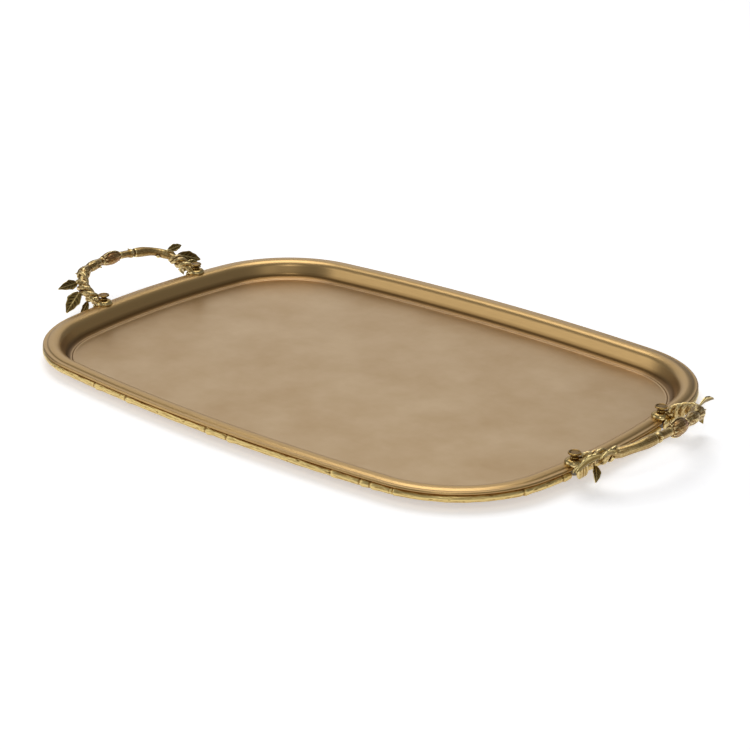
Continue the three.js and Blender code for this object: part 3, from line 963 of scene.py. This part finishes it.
@dataclass
class Leaf:
    """A pointed leaf: where it grows, how it reaches and how it is hollowed."""

    at: float
    step: tuple[float, float, float]
    reach: tuple[float, float, float]
    width: float
    facing: tuple[float, float, float]
    cup: float
    thickness: float = 1.1
    veins: int = 6

    def shell(self, arch: Arch) -> tuple[Shell, list[float]]:
        """The leaf and its stalk.

        Args:
            arch: arch that it grows from.

        Returns:
            The shell and the added recess of each of its points.
        """
        stem = arch.at(self.at).centre
        start = stem + arch.shift(*self.step) * 0.72
        end = stem + arch.shift(*self.step) + arch.shift(*self.reach)
        along = (end - start).normalized()
        length = (end - start).length
        face = arch.shift(*self.facing)
        face = (face - along * face.dot(along)).normalized()
        side = along.cross(face)
        rows, columns = 34, 13
        shell = Shell()
        extra: list[float] = []
        rings = []
        for k in range(rows + 1):
            share = k / rows
            shape = math.sin(math.pi * (0.06 + 0.9 * share) ** 0.82)
            wave = 1 + 0.07 * math.sin(share * 19) * math.sin(math.pi * share)
            half = max(0.35, self.width / 2 * shape * wave)
            arched = self.cup * math.sin(math.pi * share)
            middle = start + along * share * length + face * arched
            ring, deep = [], []
            for top in (True, False):
                spots = range(columns) if top else range(columns - 2, 0, -1)
                for i in spots:
                    a = -1 + 2 * i / (columns - 1)
                    curl = self.cup * 1.1 * a * a * shape
                    rib = 0.42 * bell(a, 0.0, 0.16)
                    vein = 0.2 * math.cos(2 * math.pi * self.veins * (share - 0.22 * abs(a)))
                    vein *= min(1.0, abs(a) * 3) * (1 - abs(a)) * 1.6
                    lip = 0.35 * max(0.0, abs(a) - 0.75) / 0.25
                    thick = self.thickness / 2 * math.sqrt(max(0.05, 1 - a * a * 0.9))
                    lift = thick + rib + vein * shape + lip if top else -thick - 0.4 * rib
                    ring.append(middle + side * a * half + face * (curl + lift))
                    inner = (1 - abs(a) ** 3) * shape * (1 - 0.9 * bell(a, 0.0, 0.2))
                    deep.append(0.1 * inner if top else 0.06)
            rings.append(ring)
            extra += deep
        shell.loft(rings)
        extra += [0.0, 0.0]
        stalk = [stem.lerp(start, t / 6) + face * 0.6 * math.sin(math.pi * t / 6)
                 for t in range(7)] + [start + along * 2.0]
        shell.tube(stalk, [1.3, 1.2, 1.1, 1.05, 1.0, 0.95, 0.9, 0.6], 12)
        extra += [0.0] * (len(shell.points) - len(extra))
        return shell, extra


@dataclass
class Handle:
    """One cast branch handle with its pod, vines, leaves, feet and studs."""

    arch: Arch
    core: float = 2.9
    end: float = 3.3
    vine_reach: float = 46.0
    short_vine_reach: float = 34.0
    pod_start: float = 76.0
    pod_length: float = 20.0
    pod_radius: float = 6.3
    boss_radius: float = 7.5
    boss_half_height: float = 4.0
    leaves: dict[str, Leaf] = field(default_factory=lambda: {
        "leaf_long": Leaf(30, (7, 3, 1), (19, -1, 0), 9, (1, -2, 3), 1.2),
        "leaf_broad": Leaf(21, (7, 1, -2), (13, -5, -14), 12, (2, -1, 2), 1.5),
        "leaf_curled": Leaf(11, (4, 0, -6), (9, -5, -7), 6, (1, -2, 2), 1.2),
        "leaf_spear": Leaf(-22, (-7, 3, 2), (-19, -11, -5), 10, (2, -2, 3), 1.4),
        "leaf_small": Leaf(-32, (-6, 3, 2), (-15, -1, 1), 7, (0, -2, 3), 1.0),
        "leaf_petal": Leaf(-14, (-8, -1, -2), (-10, -7, -2), 8, (1, 0, 2), 1.2),
        "leaf_hanging": Leaf(-13, (-3, 1, -7), (-5, 1, -9), 7, (0, 2, 1), 1.0),
    })

    def bar(self, shell: Shell, start: float, end: float, radius: Callable[[float], float],
            step: float = 0.8) -> None:
        """Adds a round bar along the arch, with its radius given by the distance."""
        count = max(2, int((end - start) / step))
        spots = [start + (end - start) * i / count for i in range(count + 1)]
        shell.tube([self.arch.at(d).centre for d in spots], [radius(d) for d in spots], 20)

    def strand(self, shell: Shell, start: float, end: float, turns: float, phase: float,
               radius: float, wound: float) -> None:
        """Adds one strand wound round the branch, thick in its middle and thin at its ends."""
        count = int((end - start) / 0.7)
        line, radii = [], []
        for i in range(count + 1):
            share = i / count
            place = self.arch.at(start + (end - start) * share)
            turn = phase + 2 * math.pi * turns * share
            away = wound + 0.25 * math.sin(9 * share + phase)
            line.append(place.centre + place.way(turn) * away)
            radii.append(radius * (0.45 + 0.6 * math.sin(math.pi * (0.08 + 0.84 * share)) ** 0.7))
        shell.tube(line, radii, 14)

    def long_branch(self) -> Shell:
        """From the +Y foot to the pod: thin under the vines, a bud, a flat collar and a neck."""
        shell = Shell()

        def radius(d: float) -> float:
            """Radius at a distance from the foot."""
            base = self.end if d < 3 else self.core + 0.5
            if d > self.vine_reach - 6:
                base = 4.0 + 1.9 * bell(d, 46, 6)
            base += 0.85 * bell(d, 63, 4.2) - 0.55 * bell(d, 55.5, 1.6)
            return base - 0.5 * bell(d, 73, 2.5)

        self.bar(shell, 0.0, self.pod_start - 0.3, radius)
        bud = self.arch.at(44)
        shell.thorn(bud.centre - bud.out * 1.0, bud.centre - bud.out * 7.2 - bud.along * 1.8, 1.8)
        stub = self.arch.at(66)
        shell.thorn(stub.centre, stub.centre + stub.out * 7.0 + stub.along * 1.5, 2.1)
        return shell

    def short_branch(self) -> Shell:
        """From the pod to the -Y foot: a waist, a jointed ring with a thorn, a smooth length."""
        shell = Shell()
        first = self.pod_start + self.pod_length + 0.3

        def radius(d: float) -> float:
            """Radius at a distance from the +Y foot."""
            away = d - first
            base = 3.4 + 0.9 * bell(away, 12.5, 2.0) - 0.7 * bell(away, 15.8, 0.9)
            if away > 16:
                base = 4.2 + 0.4 * math.sin((away - 16) / 14 * math.pi)
            left = self.arch.length - d
            thin = self.end if left < 3 else self.core + 0.5
            blend = min(1.0, max(0.0, (left - self.short_vine_reach + 6) / 6))
            return thin + (base - thin) * blend

        self.bar(shell, first, self.arch.length, radius)
        ring = self.arch.at(first + 12.5)
        shell.thorn(ring.centre, ring.centre - ring.out * 8.0 + ring.along * 1.6, 1.7)
        shell.thorn(ring.centre, ring.centre + ring.out * 5.6 + ring.along * 1.0, 2.0)
        bud = self.arch.at(-38)
        shell.ball(bud.centre + bud.out * 3.4 - bud.up * 1.5, Vector((2.0, 2.3, 2.0)), 16)
        return shell

    def pod(self) -> Shell:
        """The ribbed pod with seams of beads and a ring of sepals at each end."""
        shell = Shell()
        start, size = self.pod_start, self.pod_length

        def radius(d: float) -> float:
            """Radius at a distance from the +Y foot."""
            share = min(max((d - start) / size, 0.0), 1.0)
            return 2.9 + (self.pod_radius - 3.1) * math.sin(math.pi * share) ** 0.75

        self.bar(shell, start, start + size, radius, 0.5)
        for turn in (0.55 * math.pi, 1.55 * math.pi):
            for i in range(11):
                d = start + 2.2 + i * (size - 4.4) / 10
                place = self.arch.at(d)
                way = place.way(turn)
                shell.ball(place.centre + way * (radius(d) + 0.05), Vector((1.1, 1.1, 1.1)), 10)
        for d, lean in ((start + 1.2, 1), (start + size - 1.2, -1)):
            for i in range(9):
                turn = 2 * math.pi * i / 9
                place = self.arch.at(d)
                way = place.way(turn)
                root = place.centre + way * (radius(d) - 0.3)
                shell.thorn(root, root + place.along * 4.0 * lean + way * 1.5, 0.9)
        return shell

    def long_vine(self) -> Shell:
        """Three strands twisted up the +Y end."""
        shell = Shell()
        last = self.vine_reach - 2
        for i, (turns, radius) in enumerate(((1.35, 2.3), (1.4, 2.0), (1.3, 2.2))):
            phase = 0.4 + i * THIRD_TURN
            self.strand(shell, 5.0 + i, last - 4 * i, turns, phase, radius, self.core + 1.0)
        return shell

    def short_vine(self) -> Shell:
        """Three strands twisted up the -Y end."""
        shell = Shell()
        foot = self.arch.length
        first = foot - self.short_vine_reach + 2
        for i, (turns, radius) in enumerate(((1.1, 2.3), (1.15, 2.0), (1.05, 2.2))):
            phase = 1.4 + i * THIRD_TURN
            self.strand(shell, first + 3 * i, foot - 5.0 - i, turns, phase, radius,
                        self.core + 0.9)
        return shell

    def foot(self, end: str) -> Shell:
        """The flattened ball of a foot with the lug that wraps the pan's edge.

        Args:
            end: letter of the foot's nodes.

        Returns:
            The shell, in the tray's frame.
        """
        node = f"foot_boss_right_{end}"
        low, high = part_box(node)
        stud = centre_of(f"cap_stud_right_{end}")
        shell = Shell()
        ball = Vector((stud.x, stud.y, self.arch.boss_z))
        shell.ball(ball, Vector((self.boss_radius, self.boss_radius, self.boss_half_height)), 36)
        out = high.x / MM
        lug_low = low.z / MM
        half = (self.arch.boss_z - lug_low) / 2
        for across in (-3.1, 0.0, 3.1):
            middle = Vector((out - 2.1, stud.y + across, self.arch.boss_z - half))
            shell.ball(middle, Vector((2.05, 3.4, half)), 28)
        return shell

    def stud(self, end: str) -> Shell:
        """The turned stud: a dished cap on a waisted neck and the shank below.

        Args:
            end: letter of the stud's node.

        Returns:
            The shell, in the tray's frame.
        """
        low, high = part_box(f"cap_stud_right_{end}")
        centre = centre_of(f"cap_stud_right_{end}")
        top, bottom = high.z / MM, low.z / MM
        cap = (high.x - low.x) / MM / 2
        seat = self.arch.boss_z + self.boss_half_height - 0.1
        neck = top - 1.5
        profile = [(0.4, bottom), (1.7, bottom), (2.0, bottom + 0.3), (2.0, seat), (3.3, seat),
                   (3.3, seat + 0.35), (2.9, seat + 0.6), (2.3, seat + 1.3), (2.15, neck - 1.0),
                   (2.5, neck - 0.3), (3.3, neck), (cap - 0.45, neck + 0.05),
                   (cap - 0.1, neck + 0.3), (cap, neck + 0.75), (cap - 0.1, top - 0.3),
                   (cap - 0.4, top - 0.05), (cap - 0.75, top), (cap - 1.1, top - 0.1),
                   (cap - 1.45, top - 0.32), (cap - 2.4, top - 0.36), (0.4, top - 0.3)]
        shell = Shell()
        shell.loft([[Vector((centre.x + r * math.cos(t), centre.y + r * math.sin(t), z))
                     for t in (2 * math.pi * k / 40 for k in range(40))] for r, z in profile])
        return shell

    def place(self, workshop: Workshop, data: bpy.types.Mesh, stem: str, tail: str,
              slot: Slot) -> None:
        """Adds a finished mesh on the right and, turned by half a turn, on the left.

        Args:
            workshop: workshop that dresses the pieces.
            data: mesh for the right handle.
            stem: node's name before its side.
            tail: node's name after its side.
            slot: slot of the piece.
        """
        for side in Side:
            copy = data.copy()
            copy.transform(Matrix.Rotation(side.turn, 4, "Z"))
            node = f"{stem}_{side.word}{tail}"
            workshop.piece(f"cast_{node}", copy, slot, node)

    def cast(self, shell: Shell, sculptor: Sculptor, grain: Grain) -> bpy.types.Mesh:
        """Fuses, carves and marks a shell."""
        fused = sculptor.fuse(shell.mesh("casting"))
        sculptor.carve(fused, grain)
        sculptor.mark(fused)
        return fused

    def build(self, workshop: Workshop) -> None:
        """Builds every piece of both handles."""
        castings = (
            ("branch_long", self.long_branch(), Sculptor(), BARK, Slot.BRANCH),
            ("branch_short", self.short_branch(), Sculptor(), RUBBED, Slot.BRANCH),
            ("seed_pod", self.pod(), Sculptor(0.28, 2), SKIN, Slot.POD),
            ("vine_long", self.long_vine(), Sculptor(0.3, 2), SKIN, Slot.VINE),
            ("vine_short", self.short_vine(), Sculptor(0.3, 2), SKIN, Slot.VINE),
        )
        for stem, shell, sculptor, grain, slot in castings:
            self.place(workshop, self.cast(shell, sculptor, grain), stem, "", slot)
        for stem, leaf in self.leaves.items():
            shell, extra = leaf.shell(self.arch)
            data = shell.mesh(stem)
            Sculptor(reach=0.35, spread=5).mark(data, np.array(extra))
            self.place(workshop, data, stem, "", Slot.LEAF)
        for end in "ab":
            boss = self.cast(self.foot(end), Sculptor(0.36, 6), RUBBED)
            self.place(workshop, boss, "foot_boss", f"_{end}", Slot.BOSS)
            stud = self.stud(end).mesh("stud")
            Sculptor(reach=0.3, spread=2).mark(stud)
            self.place(workshop, stud, "cap_stud", f"_{end}", Slot.STUD)
            for side in Side:
                workshop.repaint(f"saddle_washer_{side.word}_{end}", Slot.FIXING)
                workshop.repaint(f"nut_{side.word}_{end}", Slot.FIXING)


# ---- Studio -------------------------------------------------------------------------------


@dataclass
class Softbox:
    """A large soft light aimed at the tray."""

    name: str
    place: tuple[float, float, float]
    size: tuple[float, float]
    power: float

    def build(self) -> None:
        """Adds the light."""
        lamp = bpy.data.lights.new(self.name, "AREA")
        lamp.shape = "RECTANGLE"
        lamp.size, lamp.size_y = self.size
        lamp.energy = self.power
        thing = put(self.name, lamp)
        thing.location = self.place
        thing.rotation_euler = (-Vector(self.place)).to_track_quat("-Z", "Y").to_euler()


@dataclass
class Studio:
    """Pale ground, soft light and the camera."""

    azimuth: float = 40.89
    elevation: float = 21.88
    distance: float = 1.5707
    target: tuple[float, float, float] = (0.0094, 0.0056, 0.0)
    lens: float = 92.35
    ambient: float = 0.25
    ground_half: float = 8.0
    lights: tuple[Softbox, ...] = (
        Softbox("back_softbox", (-2.2, 1.9, 1.25), (2.6, 1.8), 8),
        Softbox("top_softbox", (-0.6, 0.5, 2.3), (1.7, 1.7), 24),
        Softbox("front_softbox", (-1.7, -1.6, 1.0), (1.6, 1.5), 8.5),
        Softbox("side_softbox", (1.9, -0.9, 1.0), (0.8, 1.6), 2),
        Softbox("key_lamp", (1.0, -1.6, 1.9), (0.3, 0.3), 4),
    )

    def ground(self) -> None:
        """Adds the pale ground under the tray."""
        data = bpy.data.meshes.new("ground")
        sheet = bmesh.new()
        bmesh.ops.create_grid(sheet, x_segments=4, y_segments=4, size=self.ground_half)
        sheet.to_mesh(data)
        sheet.free()
        data.materials.append(PaintedBoard().make())
        floor = put("ground", data)
        floor.location.z = -0.0002

    def world(self) -> None:
        """Sets an even, dim surround."""
        world = bpy.data.worlds.new("studio")
        world.use_nodes = True
        tree = world.node_tree
        tree.nodes.clear()
        shade = add_node(tree, "ShaderNodeBackground",
                         {"Color": linear("f2f4f7"), "Strength": self.ambient})
        add_node(tree, "ShaderNodeOutputWorld", None, {"Surface": shade.outputs["Background"]})
        bpy.context.scene.world = world

    def camera(self) -> None:
        """Adds the camera on its azimuth and elevation round the target."""
        lens = bpy.data.cameras.new("camera")
        lens.lens = self.lens
        lens.sensor_width = 36.0
        eye = put("camera", lens)
        turn, rise = math.radians(self.azimuth), math.radians(self.elevation)
        away = Vector((math.sin(turn) * math.cos(rise), -math.cos(turn) * math.cos(rise),
                       math.sin(rise)))
        eye.location = Vector(self.target) + away * self.distance
        eye.rotation_euler = (-away).to_track_quat("-Z", "Y").to_euler()
        bpy.context.scene.camera = eye

    def build(self) -> None:
        """Adds ground, lights, surround and camera."""
        self.ground()
        self.world()
        for light in self.lights:
            light.build()
        self.camera()
        bpy.context.scene.view_settings.view_transform = "Standard"
        LOG.info("studio: %d lights", len(self.lights))


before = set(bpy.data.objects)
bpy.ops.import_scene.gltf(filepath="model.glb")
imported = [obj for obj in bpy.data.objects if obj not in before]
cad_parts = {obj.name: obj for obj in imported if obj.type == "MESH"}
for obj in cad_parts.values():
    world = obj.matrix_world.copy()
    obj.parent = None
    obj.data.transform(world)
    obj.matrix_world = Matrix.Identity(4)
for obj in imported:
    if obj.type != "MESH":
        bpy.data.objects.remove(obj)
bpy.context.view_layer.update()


def main() -> None:
    """Builds the tray's pieces in order, then the studio."""
    logging.basicConfig(level=logging.INFO, format="%(name)s %(message)s")
    low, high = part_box("tray_pan")
    outline = Outline((high.x - low.x) / MM, (high.y - low.y) / MM)
    rim = Rim()
    near, far = centre_of("cap_stud_right_a"), centre_of("cap_stud_right_b")
    boss_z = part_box("foot_boss_right_a")[1].z / MM - Handle.boss_half_height
    arch = Arch(near.x, (near.y + far.y) / 2, (near.y - far.y) / 2, boss_z)
    workshop = Workshop(Finishes())
    Pan(outline, rim).build(workshop)
    TwigBorder(outline, rim, centre_of("border_back").z).build(workshop)
    Handle(arch).build(workshop)
    Studio().build()


if __name__ == "__main__":
    main()
